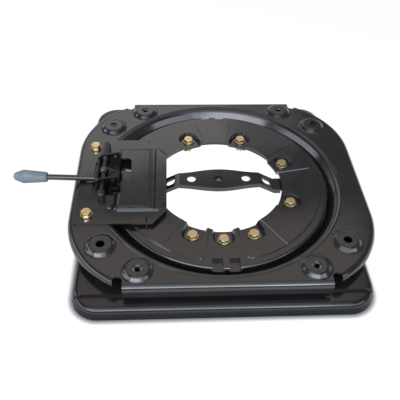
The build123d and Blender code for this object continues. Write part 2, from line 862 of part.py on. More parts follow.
def make_lever_grip():
    """Plastic grip, thickest near its blunt outer end."""
    belly_x = grip_length - grip_nose
    outline = make_face(Polyline(
        (0, 0),
        (0, grip_neck_size / 2),
        (belly_x, grip_size / 2),
        (grip_length, grip_tip_size / 2),
        (grip_length, 0),
        close=True,
    ))
    belly = outline.vertices().sort_by_distance((belly_x, grip_size / 2))[0]
    outline = fillet(belly, grip_belly_round)
    tip = outline.vertices().sort_by_distance((grip_length, grip_tip_size / 2))[0]
    grip = revolve(fillet(tip, grip_tip_round), Axis.X)
    depth = grip_length - grip_wall_end
    grip -= Rot(0, 90, 0) * prism(Circle(rod_size / 2 + rod_play), 0, depth)
    return Pos(*rod_points()[2]) * Rot(0, 180 + rod_slope, 0) * Pos(-depth, 0, 0) * grip


parts = {
    "base_pan": make_base_pan,
    "clamp_ring": make_clamp_ring,
    "ring_bolts": make_ring_bolts,
    "ring_washers": make_ring_washers,
    "ring_nuts": make_ring_nuts,
    "lower_glide": make_lower_glide,
    "upper_glide": make_upper_glide,
    "cross_bar": make_cross_bar,
    "bar_weld_nut": make_bar_weld_nut,
    "top_plate": make_top_plate,
    "seat_weld_nuts": make_seat_weld_nuts,
    "latch_cover": make_latch_cover,
    "cover_bolts": make_cover_bolts,
    "cover_washers": make_cover_washers,
    "cover_nuts": make_cover_nuts,
    "pivot_pin": make_pivot_pin,
    "pin_saddles": make_pin_saddles,
    "pin_clips": make_pin_clips,
    "return_spring": make_return_spring,
    "latch_yoke": make_latch_yoke,
    "lever_rod": make_lever_rod,
    "lever_grip": make_lever_grip,
}

os.makedirs("parts", exist_ok=True)
for name, make in parts.items():
    export_step(make(), os.path.join("parts", name + ".step"))
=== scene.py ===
"""Looks of a pressed steel seat swivel: its finishes, its fine pieces, the light and the camera."""

import json
import logging
import math
import random
from dataclasses import dataclass, field
from enum import Enum
from typing import Any, Iterable

import bmesh
import bpy
from mathutils import Matrix, Vector


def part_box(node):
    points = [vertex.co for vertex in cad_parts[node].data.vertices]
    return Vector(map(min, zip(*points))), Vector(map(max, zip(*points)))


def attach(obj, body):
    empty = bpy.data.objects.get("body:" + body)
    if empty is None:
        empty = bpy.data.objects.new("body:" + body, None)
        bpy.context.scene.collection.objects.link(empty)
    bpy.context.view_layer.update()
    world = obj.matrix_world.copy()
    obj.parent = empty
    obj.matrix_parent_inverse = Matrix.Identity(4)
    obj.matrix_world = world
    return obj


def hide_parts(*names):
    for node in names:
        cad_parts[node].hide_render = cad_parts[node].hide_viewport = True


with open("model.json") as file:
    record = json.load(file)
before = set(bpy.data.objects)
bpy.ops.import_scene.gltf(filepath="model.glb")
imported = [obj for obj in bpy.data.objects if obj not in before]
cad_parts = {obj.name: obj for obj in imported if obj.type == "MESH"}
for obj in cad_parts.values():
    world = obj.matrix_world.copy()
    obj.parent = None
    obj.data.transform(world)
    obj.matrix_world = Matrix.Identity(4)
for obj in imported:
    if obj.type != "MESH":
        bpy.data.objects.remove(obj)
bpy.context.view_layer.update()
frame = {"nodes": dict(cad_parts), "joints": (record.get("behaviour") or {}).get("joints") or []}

LOG = logging.getLogger("seat_swivel")
# A millimetre in metres, which all meshes are in.
MM = 0.001
# Points that are closer than this, in metres, are one point.
WELD = 1e-6
# Faces that meet at less than this angle are one flat face.
FLAT_ANGLE = math.radians(0.5)
# Edges that turn by more than this angle are sharp.
SMOOTH_ANGLE = math.radians(32.0)
# A rounded edge has so many facets.
EDGE_SEGMENTS = 2
# Places are sorted to so many digits of a metre, a tenth of a millimetre.
PLACE_DIGITS = 4
# A noise pattern mostly keeps between these two levels.
NOISE_LOW = 0.3
NOISE_HIGH = 0.7


class Body(Enum):
    """The three bodies that pieces ride on."""

    BASE = "base"
    TOP = "top"
    LEVER = "lever"


class Slot(Enum):
    """The slots of the part's record, one for each finish of the added pieces."""

    BLACK_STEEL = "black_steel"
    YELLOW_ZINC = "yellow_zinc"
    BRIGHT_ZINC = "bright_zinc"
    SPRING_STEEL = "spring_steel"
    GRIP_PLASTIC = "grip_plastic"


def linear_colour(hex_value: str) -> tuple[float, float, float, float]:
    """Turn an sRGB hex value into a linear colour.

    Args:
        hex_value: six hexadecimal digits after a hash sign.

    Returns:
        Red, green, blue and an alpha of 1.
    """
    shares = [int(hex_value[i:i + 2], 16) / 255 for i in (1, 3, 5)]
    linear = [s / 12.92 if s <= 0.04045 else ((s + 0.055) / 1.055) ** 2.4 for s in shares]
    return (*linear, 1.0)


def per_metre(size_mm: float) -> float:
    """Pattern scale, in repeats a metre, of a mark of that size."""
    return 1 / (size_mm * MM)


def add_node(
    tree: bpy.types.NodeTree,
    kind: str,
    settings: dict[str, Any] | None = None,
    inputs: dict[str | int, Any] | None = None,
) -> bpy.types.Node:
    """Add one node to a tree.

    Args:
        tree: the tree that takes the node.
        kind: the node's type name.
        settings: the node's own properties by name.
        inputs: a value, or an output to link, for each named or numbered input.

    Returns:
        The new node.
    """
    node = tree.nodes.new(kind)
    for name, value in (settings or {}).items():
        setattr(node, name, value)
    for socket, value in (inputs or {}).items():
        if isinstance(value, bpy.types.NodeSocket):
            tree.links.new(value, node.inputs[socket])
        else:
            node.inputs[socket].default_value = value
    return node


def fill_ramp(node: bpy.types.Node, stops: Iterable[tuple[float, str]]) -> None:
    """Set the stops of a colour ramp.

    Args:
        node: the ramp.
        stops: a place from 0 to 1 and a hex colour for each stop.
    """
    elements = node.color_ramp.elements
    stops = list(stops)
    while len(elements) < len(stops):
        elements.new(1.0)
    for element, (place, colour) in zip(elements, stops):
        element.position = place
        element.color = linear_colour(colour)


def empty_material(name: str) -> bpy.types.Material:
    """Start a material that has no nodes yet.

    Args:
        name: the material's name.

    Returns:
        The material.
    """
    material = bpy.data.materials.new(name)
    material.use_nodes = True
    material.node_tree.nodes.clear()
    return material


def towards(azimuth: float, elevation: float) -> Vector:
    """Find the way from the part to a place round it.

    Args:
        azimuth: degrees from the front, to the right.
        elevation: degrees above the floor.

    Returns:
        A vector that is one metre long.
    """
    turn = math.radians(azimuth)
    rise = math.radians(elevation)
    return Vector((
        math.sin(turn) * math.cos(rise), -math.cos(turn) * math.cos(rise), math.sin(rise),
    ))


def hinge_place(joint_name: str) -> list[float]:
    """Find where a joint is at rest.

    Args:
        joint_name: the joint's name.

    Returns:
        Its place in metres.
    """
    return next(joint for joint in frame["joints"] if joint["name"] == joint_name)["pos_m"]


@dataclass(frozen=True)
class Finish:
    """What every finish has: a name, and ways to draw clouds of colour and a relief."""

    name: str

    def surface(self, tree: bpy.types.NodeTree, place: bpy.types.NodeSocket) -> bpy.types.Node:
        """Make the shader, which each kind of finish does in its own way.

        Args:
            tree: the material's node tree.
            place: the place of each point on the object.

        Returns:
            The shader.
        """
        raise NotImplementedError

    def clouds(
        self, tree: bpy.types.NodeTree, place: bpy.types.NodeSocket, size_mm: float,
        stops: Iterable[tuple[float, str]], detail: float = 3.0, roughness: float = 0.5,
    ) -> tuple[bpy.types.NodeSocket, bpy.types.NodeSocket]:
        """Vary a colour in soft clouds.

        Args:
            tree: the material's node tree.
            place: the place of each point on the object.
            size_mm: how wide the clouds are.
            stops: a level of the clouds, from 0 to 1, and a hex colour for each stop.
            detail: how many finer layers the clouds have.
            roughness: how strong the finer layers are.

        Returns:
            The clouds' level and their colour.
        """
        level = add_node(tree, "ShaderNodeTexNoise", inputs={
            "Vector": place, "Scale": per_metre(size_mm), "Detail": detail, "Roughness": roughness,
        }).outputs["Fac"]
        colour = add_node(tree, "ShaderNodeValToRGB", inputs={"Fac": level})
        fill_ramp(colour, stops)
        return level, colour.outputs["Color"]

    def relief(
        self, tree: bpy.types.NodeTree, place: bpy.types.NodeSocket, size_mm: float,
        height_mm: float, detail: float = 2.0, below: bpy.types.NodeSocket | None = None,
    ) -> bpy.types.NodeSocket:
        """Raise low bumps on the surface.

        Args:
            tree: the material's node tree.
            place: the place of each point on the object.
            size_mm: how wide the bumps are.
            height_mm: how high they are.
            detail: how many finer layers they have.
            below: the normal of another relief that this one lies on.

        Returns:
            The normal of the raised surface.
        """
        bumps = add_node(tree, "ShaderNodeTexNoise", inputs={
            "Vector": place, "Scale": per_metre(size_mm), "Detail": detail,
        })
        inputs = {"Strength": 1.0, "Distance": height_mm * MM, "Height": bumps.outputs["Fac"]}
        if below is not None:
            inputs["Normal"] = below
        return add_node(tree, "ShaderNodeBump", inputs=inputs).outputs["Normal"]

    def build(self) -> bpy.types.Material:
        """Make the material.

        Returns:
            The material.
        """
        material = empty_material(self.name)
        tree = material.node_tree
        place = add_node(tree, "ShaderNodeTexCoord").outputs["Object"]
        shader = self.surface(tree, place)
        add_node(tree, "ShaderNodeOutputMaterial", inputs={"Surface": shader.outputs[0]})
        return material


@dataclass(frozen=True)
class DipCoat(Finish):
    """Black cathodic dip paint on pressed steel.

    It gives the eye a thin even gloss over a sheet that waves a little.
    """

    name: str = "black_dip_coat"
    dark: str = "#161617"
    pale: str = "#21201f"
    cloud_mm: float = 45.0
    wave_mm: float = 38.0
    wave_height_mm: float = 0.25
    # The paint's skin is finer on the real part, and is drawn this coarse so that it shows.
    peel_mm: float = 2.4
    peel_height_mm: float = 0.012
    smooth: float = 0.11
    dull: float = 0.19
    specular: float = 0.95

    def surface(self, tree: bpy.types.NodeTree, place: bpy.types.NodeSocket) -> bpy.types.Node:
        """Make the paint.

        Args:
            tree: the material's node tree.
            place: the place of each point on the object.

        Returns:
            The shader.
        """
        stops = [(0.3, self.dark), (0.75, self.pale)]
        level, colour = self.clouds(tree, place, self.cloud_mm, stops, detail=5.0, roughness=0.6)
        gloss = add_node(tree, "ShaderNodeMapRange", inputs={
            "Value": level, "From Min": NOISE_LOW, "From Max": NOISE_HIGH,
            "To Min": self.smooth, "To Max": self.dull,
        })
        sheet = self.relief(tree, place, self.wave_mm, self.wave_height_mm, detail=1.0)
        skin = self.relief(tree, place, self.peel_mm, self.peel_height_mm, below=sheet)
        return add_node(tree, "ShaderNodeBsdfPrincipled", inputs={
            "Base Color": colour, "Roughness": gloss.outputs["Result"], "Normal": skin,
            "Specular IOR Level": self.specular,
        })


@dataclass(frozen=True)
class Plating(Finish):
    """Zinc plating with a passivation film.

    It gives the eye a soft metal shine, clouded by tints of the film.
    """

    name: str = "yellow_zinc_plate"
    tints: tuple[tuple[float, str], ...] = (
        (0.30, "#dcbd80"), (0.45, "#f0dcb0"), (0.56, "#eacb9c"), (0.68, "#dcd3a4"),
        (0.8, "#e6c48a"),
    )
    tint_mm: float = 7.0
    # The crystals of the zinc are far finer, and are drawn this coarse so that they show.
    grain_mm: float = 0.9
    grain_height_mm: float = 0.006
    smooth: float = 0.18
    dull: float = 0.34

    def surface(self, tree: bpy.types.NodeTree, place: bpy.types.NodeSocket) -> bpy.types.Node:
        """Make the plating.

        Args:
            tree: the material's node tree.
            place: the place of each point on the object.

        Returns:
            The shader.
        """
        level, colour = self.clouds(tree, place, self.tint_mm, self.tints, roughness=0.55)
        gloss = add_node(tree, "ShaderNodeMapRange", inputs={
            "Value": level, "From Min": NOISE_LOW, "From Max": NOISE_HIGH,
            "To Min": self.smooth, "To Max": self.dull,
        })
        grain = self.relief(tree, place, self.grain_mm, self.grain_height_mm)
        return add_node(tree, "ShaderNodeBsdfPrincipled", inputs={
            "Base Color": colour, "Metallic": 1.0, "Roughness": gloss.outputs["Result"],
            "Normal": grain,
        })


@dataclass(frozen=True)
class MouldedPlastic(Finish):
    """Injection moulded plastic from a spark-eroded mould.

    It gives the eye an even body colour with a fine grain.
    """

    name: str = "grey_grip_plastic"
    dark: str = "#6c7a80"
    pale: str = "#7e8b91"
    cloud_mm: float = 12.0
    # The grain of such a mould is about a tenth of this, and is drawn this coarse so that it shows.
    grain_mm: float = 0.8
    grain_height_mm: float = 0.02
    rough: float = 0.5

    def surface(self, tree: bpy.types.NodeTree, place: bpy.types.NodeSocket) -> bpy.types.Node:
        """Make the plastic.

        Args:
            tree: the material's node tree.
            place: the place of each point on the object.

        Returns:
            The shader.
        """
        stops = [(0.35, self.dark), (0.65, self.pale)]
        _, colour = self.clouds(tree, place, self.cloud_mm, stops)
        grain = self.relief(tree, place, self.grain_mm, self.grain_height_mm)
        return add_node(tree, "ShaderNodeBsdfPrincipled", inputs={
            "Base Color": colour, "Roughness": self.rough, "Normal": grain,
        })


@dataclass(frozen=True)
class Softbox:
    """One studio lamp with a flat soft face, aimed at the middle of the part.

    Its place is in degrees from the front and above the floor, and its sizes are in metres.
    """

    name: str
    azimuth: float
    elevation: float
    distance: float
    width: float
    depth: float
    radiance: float
    colour: str

    def build(self) -> bpy.types.Object:
        """Hang the lamp.

        Returns:
            The lamp.
        """
        data = bpy.data.lights.new(self.name, "AREA")
        data.shape = "RECTANGLE"
        data.size = self.width
        data.size_y = self.depth
        data.energy = self.radiance * math.pi * self.width * self.depth
        data.color = linear_colour(self.colour)[:3]
        lamp = bpy.data.objects.new(self.name, data)
        lamp.location = self.distance * towards(self.azimuth, self.elevation)
        lamp.rotation_mode = "QUATERNION"
        lamp.rotation_quaternion = (-lamp.location).to_track_quat("-Z", "Y")
        lamp.visible_camera = False
        bpy.context.scene.collection.objects.link(lamp)
        return lamp


@dataclass
class Studio:
    """The white floor, the lamps, the room light and the camera, with sizes in metres."""

    floor_half: float = 6.0
    floor_colour: str = "#8a8a8a"
    # The floor's own light, where 1 is white.
    floor_glow: float = 0.82
    # Round the pan that light is dimmed into a painted shadow, over one reach as seen and another
    # as mirrored in paint.
    pan_corner: float = 0.036
    painted_shadow_reach_seen: float = 0.009
    painted_shadow_reach_mirrored: float = 0.05
    painted_shadow_floor_share: float = 0.0
    # Under the middle hole it is a little stronger: painted light that outweighs the part's shade
    # on the floor there.
    painted_hole_light_reach: float = 0.14
    painted_hole_light_share: float = 1.2
    # The room is dim above and white at the horizon, and changes between these shares of height.
    room_colour: str = "#f2f5ff"
    room_strength: float = 0.2
    horizon_strength: float = 1.0
    horizon_low: float = 0.03
    horizon_high: float = 0.30
    camera_place: tuple[float, float, float] = (-0.06662, -0.57642, 0.58251)
    camera_azimuth: float = -3.93
    camera_elevation: float = 45.35
    camera_roll: float = 2.03
    camera_lens_mm: float = 47.43
    # Each lamp's name, azimuth, elevation, distance, width, depth, radiance and colour.
    lamps: list[Softbox] = field(default_factory=lambda: [
        Softbox("front_softbox", -14.0, 39.0, 1.6, 1.8, 0.52, 5.4, "#f2f6ff"),
        Softbox("front_high_panel", -12.0, 60.0, 1.7, 1.9, 0.6, 1.8, "#e6f0ff"),
        Softbox("overhead_panel", 0.0, 86.0, 1.9, 1.5, 0.9, 0.75, "#e6f0ff"),
        Softbox("right_window", 40.0, 34.0, 1.65, 1.5, 0.52, 2.4, "#e6f0ff"),
        Softbox("left_window", -80.0, 28.0, 1.65, 1.9, 0.52, 2.3, "#e6f0ff"),
        Softbox("high_back_panel", 180.0, 61.0, 1.9, 1.8, 0.75, 0.58, "#ffe9da"),
        Softbox("low_back_panel", 192.0, 35.0, 1.9, 1.1, 0.5, 0.55, "#fffaf5"),
        Softbox("low_back_fill", 193.0, 35.0, 2.0, 2.0, 0.55, 0.42, "#fffaf5"),
    ])

    def build_floor(self) -> None:
        """Lay the white floor, with a little light of its own, dimmed round the pan as a painted
        shadow.
        """
        data = bpy.data.meshes.new("floor")
        shape = bmesh.new()
        bmesh.ops.create_grid(shape, x_segments=1, y_segments=1, size=self.floor_half)
        shape.to_mesh(data)
        shape.free()
        floor = bpy.data.objects.new("floor", data)
        bpy.context.scene.collection.objects.link(floor)
        # Matt paper: a clean white that shows the part's shadow, and a painted shadow in its own
        # light round and under the pan.
        material = empty_material("white_paper")
        tree = material.node_tree
        rays = add_node(tree, "ShaderNodeLightPath")
        seen = add_node(tree, "ShaderNodeMath", {"operation": "MAXIMUM"}, {
            0: rays.outputs["Is Camera Ray"], 1: rays.outputs["Is Transmission Ray"],
        })
        # As seen, the floor's light is dimmed round the pan by a painted shadow.
        seen = add_node(tree, "ShaderNodeMath", {"operation": "MULTIPLY"}, {
            0: seen.outputs[0], 1: self.shade_painted_on_floor(tree, self.painted_shadow_reach_seen),
        })
        # As mirrored in paint, the painted shadow round the pan reaches further.
        mirrored = add_node(tree, "ShaderNodeMath", {"operation": "MULTIPLY"}, {
            0: rays.outputs["Is Glossy Ray"], 1: self.shade_painted_on_floor(tree, self.painted_shadow_reach_mirrored),
        })
        level = add_node(tree, "ShaderNodeMath", {"operation": "MAXIMUM"}, {
            0: seen.outputs[0], 1: mirrored.outputs[0],
        })
        level = add_node(tree, "ShaderNodeMath", {"operation": "MULTIPLY"}, {
            0: level.outputs[0], 1: self.floor_glow,
        })
        glow = add_node(tree, "ShaderNodeEmission", inputs={"Strength": level.outputs[0]})
        paper = add_node(tree, "ShaderNodeBsdfDiffuse", inputs={
            "Color": linear_colour(self.floor_colour),
        })
        both = add_node(tree, "ShaderNodeAddShader", inputs={
            0: paper.outputs[0], 1: glow.outputs[0],
        })
        add_node(tree, "ShaderNodeOutputMaterial", inputs={"Surface": both.outputs[0]})
        data.materials.append(material)

    def shade_painted_on_floor(self, tree: bpy.types.NodeTree, reach: float) -> bpy.types.NodeSocket:
        """Paint shade into the floor's own light under the pan and close to it.

        Args:
            tree: the floor's node tree.
            reach: how far from the pan the painted shadow reaches.

        Returns:
            A share of the floor's own light: a painted shadow, small at the pan's rim and one away
            from it, and painted light above one under the middle hole.
        """
        low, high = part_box("base_pan")
        middle = (low + high) / 2
        half = (high - low) / 2
        place = add_node(tree, "ShaderNodeTexCoord").outputs["Object"]
        moved = add_node(tree, "ShaderNodeVectorMath", {"operation": "SUBTRACT"}, {
            0: place, 1: (middle.x, middle.y, 0.0),
        })
        folded = add_node(tree, "ShaderNodeVectorMath", {"operation": "ABSOLUTE"}, {
            0: moved.outputs[0],
        })
        past = add_node(tree, "ShaderNodeVectorMath", {"operation": "SUBTRACT"}, {
            0: folded.outputs[0], 1: (half.x - self.pan_corner, half.y - self.pan_corner, 0.0),
        })
        past = add_node(tree, "ShaderNodeVectorMath", {"operation": "MAXIMUM"}, {
            0: past.outputs[0], 1: (0.0, 0.0, 0.0),
        })
        far = add_node(tree, "ShaderNodeVectorMath", {"operation": "LENGTH"}, {0: past.outputs[0]})
        # The painted shadow: the floor's light rises from the pan's rim to full over the reach.
        share = add_node(tree, "ShaderNodeMapRange", {"interpolation_type": "SMOOTHSTEP"}, {
            "Value": far.outputs["Value"], "From Min": self.pan_corner,
            "From Max": self.pan_corner + reach, "To Min": self.painted_shadow_floor_share, "To Max": 1.0,
        })
        spread = add_node(tree, "ShaderNodeVectorMath", {"operation": "LENGTH"}, {0: place})
        # Painted light: under the middle hole the floor's light is made stronger than full.
        near = add_node(tree, "ShaderNodeMath", {"operation": "LESS_THAN"}, {
            0: spread.outputs["Value"], 1: self.painted_hole_light_reach,
        })
        hole = add_node(tree, "ShaderNodeMath", {"operation": "MULTIPLY"}, {
            0: near.outputs[0], 1: self.painted_hole_light_share,
        })
        either = add_node(tree, "ShaderNodeMath", {"operation": "MAXIMUM"}, {
            0: share.outputs["Result"], 1: hole.outputs[0],
        })
        return either.outputs[0]

    def build_room(self) -> None:
        """Fill the room with an even soft light and a white band round the horizon."""
        world = bpy.data.worlds.new("room")
        world.use_nodes = True
        tree = world.node_tree
        tree.nodes.clear()
        way = add_node(tree, "ShaderNodeTexCoord").outputs["Generated"]
        axes = add_node(tree, "ShaderNodeSeparateXYZ", inputs={0: way})
        band = add_node(tree, "ShaderNodeMapRange", {"interpolation_type": "SMOOTHSTEP"}, {
            "Value": axes.outputs["Z"], "From Min": self.horizon_low, "From Max": self.horizon_high,
            "To Min": self.horizon_strength, "To Max": self.room_strength,
        })
        light = add_node(tree, "ShaderNodeBackground", inputs={
            "Color": linear_colour(self.room_colour), "Strength": band.outputs["Result"],
        })
        add_node(tree, "ShaderNodeOutputWorld", inputs={"Surface": light.outputs[0]})
        bpy.context.scene.world = world

    def build_camera(self) -> None:
        """Set the camera where the photograph was taken from."""
        azimuth = math.radians(self.camera_azimuth)
        roll = math.radians(self.camera_roll)
        back = towards(self.camera_azimuth, self.camera_elevation)
        level = Vector((math.cos(azimuth), math.sin(azimuth), 0.0))
        upright = back.cross(level)
        right = level * math.cos(roll) + upright * math.sin(roll)
        upward = back.cross(right)
        data = bpy.data.cameras.new("camera")
        data.lens = self.camera_lens_mm
        camera = bpy.data.objects.new("camera", data)
        turn = Matrix((right, upward, back)).transposed().to_4x4()
        camera.matrix_world = Matrix.Translation(self.camera_place) @ turn
        bpy.context.scene.collection.objects.link(camera)
        bpy.context.scene.camera = camera

    def build(self) -> None:
        """Set up the whole studio."""
        self.build_floor()
        self.build_room()
        for lamp in self.lamps:
            lamp.build()
        self.build_camera()
        bpy.context.scene.view_settings.view_transform = "Standard"


def island_boxes(node: str) -> list[tuple[Vector, Vector]]:
    """Find the separate pieces of a solid that is a group.

    Args:
        node: the group's name.

    Returns:
        The lowest and highest corner of each piece.
    """
    shape = bmesh.new()
    shape.from_mesh(frame["nodes"][node].data)
    bmesh.ops.remove_doubles(shape, verts=shape.verts, dist=WELD)
    waiting = set(shape.verts)
    boxes = []
    while waiting:
        front = [waiting.pop()]
        points = []
        while front:
            vertex = front.pop()
            points.append(vertex.co.copy())
            for edge in vertex.link_edges:
                other = edge.other_vert(vertex)
                if other in waiting:
                    waiting.remove(other)
                    front.append(other)
        low = Vector([min(point[axis] for point in points) for axis in range(3)])
        high = Vector([max(point[axis] for point in points) for axis in range(3)])
        boxes.append((low, high))
    shape.free()
    return sorted(boxes, key=lambda box: (
        round(box[0].x, PLACE_DIGITS), round(box[0].y, PLACE_DIGITS),
    ))


@dataclass
class SubAssembly:
    """What every sub-assembly has: its body, and ways to dress solids and add pieces."""

    body: Body = Body.BASE

    def dress(self, material: bpy.types.Material, *nodes: str) -> None:
        """Give solids of the part their finish.

        Args:
            material: the finish.
            nodes: the solids' names.
        """
        for node in nodes:
            data = frame["nodes"][node].data
            data.materials.clear()
            data.materials.append(material)
            LOG.info("dressed %s with %s", node, material.name)

    def add_piece(
        self, name: str, shape: bmesh.types.BMesh, material: bpy.types.Material, slot: Slot,
    ) -> bpy.types.Object:
        """Turn a shape into a piece that rides on the body.

        Args:
            name: the piece's name.
            shape: its mesh, in place, which is used up.
            material: its finish.
            slot: the record's slot of that finish; not used.

        Returns:
            The piece.
        """
        bmesh.ops.recalc_face_normals(shape, faces=shape.faces)
        data = bpy.data.meshes.new(name)
        shape.to_mesh(data)
        shape.free()
        data.shade_smooth()
        data.set_sharp_from_angle(angle=SMOOTH_ANGLE)
        data.materials.append(material)
        piece = bpy.data.objects.new(name, data)
        bpy.context.scene.collection.objects.link(piece)
        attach(piece, self.body.value)
        LOG.info("added %s, %d faces", name, len(data.polygons))
        return piece

    def soften(
        self, node: str, material: bpy.types.Material, slot: Slot, width_mm: float,
    ) -> bpy.types.Object:
        """Put a copy with rounded edges in the place of a solid with sharp ones.

        Args:
            node: the solid's name.
            material: the copy's finish.
            slot: the record's slot of that finish.
            width_mm: how wide the rounding is.

        Returns:
            The copy.
        """
        shape = bmesh.new()
        shape.from_mesh(frame["nodes"][node].data)
        bmesh.ops.remove_doubles(shape, verts=shape.verts, dist=WELD)
        bmesh.ops.dissolve_limit(
            shape, angle_limit=FLAT_ANGLE, verts=shape.verts, edges=shape.edges,
        )
        sharp = [edge for edge in shape.edges if edge.calc_face_angle(0.0) > SMOOTH_ANGLE]
        bmesh.ops.bevel(
            shape, geom=sharp, offset=width_mm * MM, offset_type="OFFSET", affect="EDGES",
            segments=EDGE_SEGMENTS, profile=0.5, clamp_overlap=True, material=-1,
        )
        piece = self.add_piece(node + "_rounded", shape, material, slot)
        weighted = piece.modifiers.new("even_normals", "WEIGHTED_NORMAL")
        weighted.keep_sharp = True
        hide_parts(node)
        return piece


@dataclass
class BasePan(SubAssembly):
    """The fixed pan with its glide rings and the strap across its hole."""

    bar_edge_mm: float = 0.5

    def build(
        self, dull: bpy.types.Material, coat: bpy.types.Material, glide: bpy.types.Material,
    ) -> None:
        """Dress the pan and round the strap's edges.

        Args:
            dull: the duller black paint of the pan.
            coat: the black paint.
            glide: the plastic of the glide rings.
        """
        self.dress(dull, "base_pan")
        self.dress(coat, "bar_weld_nut")
        self.dress(glide, "lower_glide", "upper_glide")
        self.soften("cross_bar", coat, Slot.BLACK_STEEL, self.bar_edge_mm)


@dataclass
class ClampRing(SubAssembly):
    """The pressed ring and its nine bolts, with threads on the bolts' free ends."""

    bolt_edge_mm: float = 0.35
    washer_edge_mm: float = 0.25
    shank_radius_mm: float = 4.0
    thread_pitch_mm: float = 1.25
    thread_depth_mm: float = 0.35
    # The thread starts this far below the nut, and its crest and foot are shares of its pitch.
    thread_gap_mm: float = 0.1
    thread_crest: float = 0.4
    thread_foot: float = 0.8
    thread_turns: int = 3
    thread_steps: int = 28

    def build_threads(self, pale: bpy.types.Material) -> None:
        """Wind a thread round the free end of every bolt, below its nut.

        Args:
            pale: the threads' plating, darker than the bolts' as painted shade under the ring.
        """
        shape = bmesh.new()
        for low, high in island_boxes("ring_nuts"):
            middle = (low + high) / 2
            shank = self.shank_radius_mm * MM
            ridge = [
                shape.verts.new((
                    middle.x + shank + out * MM, middle.y,
                    low.z - (self.thread_gap_mm + self.thread_pitch_mm * share) * MM,
                ))
                for out, share in (
                    (0.0, 0.0), (self.thread_depth_mm, self.thread_crest), (0.0, self.thread_foot),
                )
            ]
            edges = [shape.edges.new(pair) for pair in zip(ridge, ridge[1:] + ridge[:1])]
            steps = self.thread_turns * self.thread_steps
            wound = bmesh.ops.spin(
                shape, geom=ridge + edges, cent=middle, axis=(0, 0, 1),
                dvec=(0, 0, -self.thread_pitch_mm * MM / self.thread_steps),
                angle=math.tau * self.thread_turns, steps=steps, use_merge=False,
            )["geom_last"]
            last = [item for item in wound if isinstance(item, bmesh.types.BMEdge)]
            bmesh.ops.contextual_create(shape, geom=edges)
            bmesh.ops.contextual_create(shape, geom=last)
        self.add_piece("ring_bolt_threads", shape, pale, Slot.YELLOW_ZINC)

    def build(
        self, coat: bpy.types.Material, zinc: bpy.types.Material, pale: bpy.types.Material,
    ) -> None:
        """Dress the ring, round its fasteners and wind their threads.

        Args:
            coat: the black paint.
            zinc: the bolts' plating.
            pale: the plating of the washers, nuts and threads, which on the nuts and threads under
                the ring is darker as painted shade.
        """
        self.dress(coat, "clamp_ring")
        self.soften("ring_bolts", zinc, Slot.YELLOW_ZINC, self.bolt_edge_mm)
        self.soften("ring_washers", pale, Slot.YELLOW_ZINC, self.washer_edge_mm)
        # The nuts and the threads below them take the darker plating as painted shade under the
        # ring.
        self.soften("ring_nuts", pale, Slot.YELLOW_ZINC, self.bolt_edge_mm)
        self.build_threads(pale)


@dataclass
class TopPlate(SubAssembly):
    """The turning plate with the nuts under its inner bosses."""

    body: Body = Body.TOP
    nut_edge_mm: float = 0.4

    def build(self, coat: bpy.types.Material, zinc: bpy.types.Material) -> None:
        """Dress the plate and round its nuts.

        Args:
            coat: the black paint.
            zinc: the nuts' plating.
        """
        self.dress(coat, "top_plate")
        self.soften("seat_weld_nuts", zinc, Slot.BRIGHT_ZINC, self.nut_edge_mm)


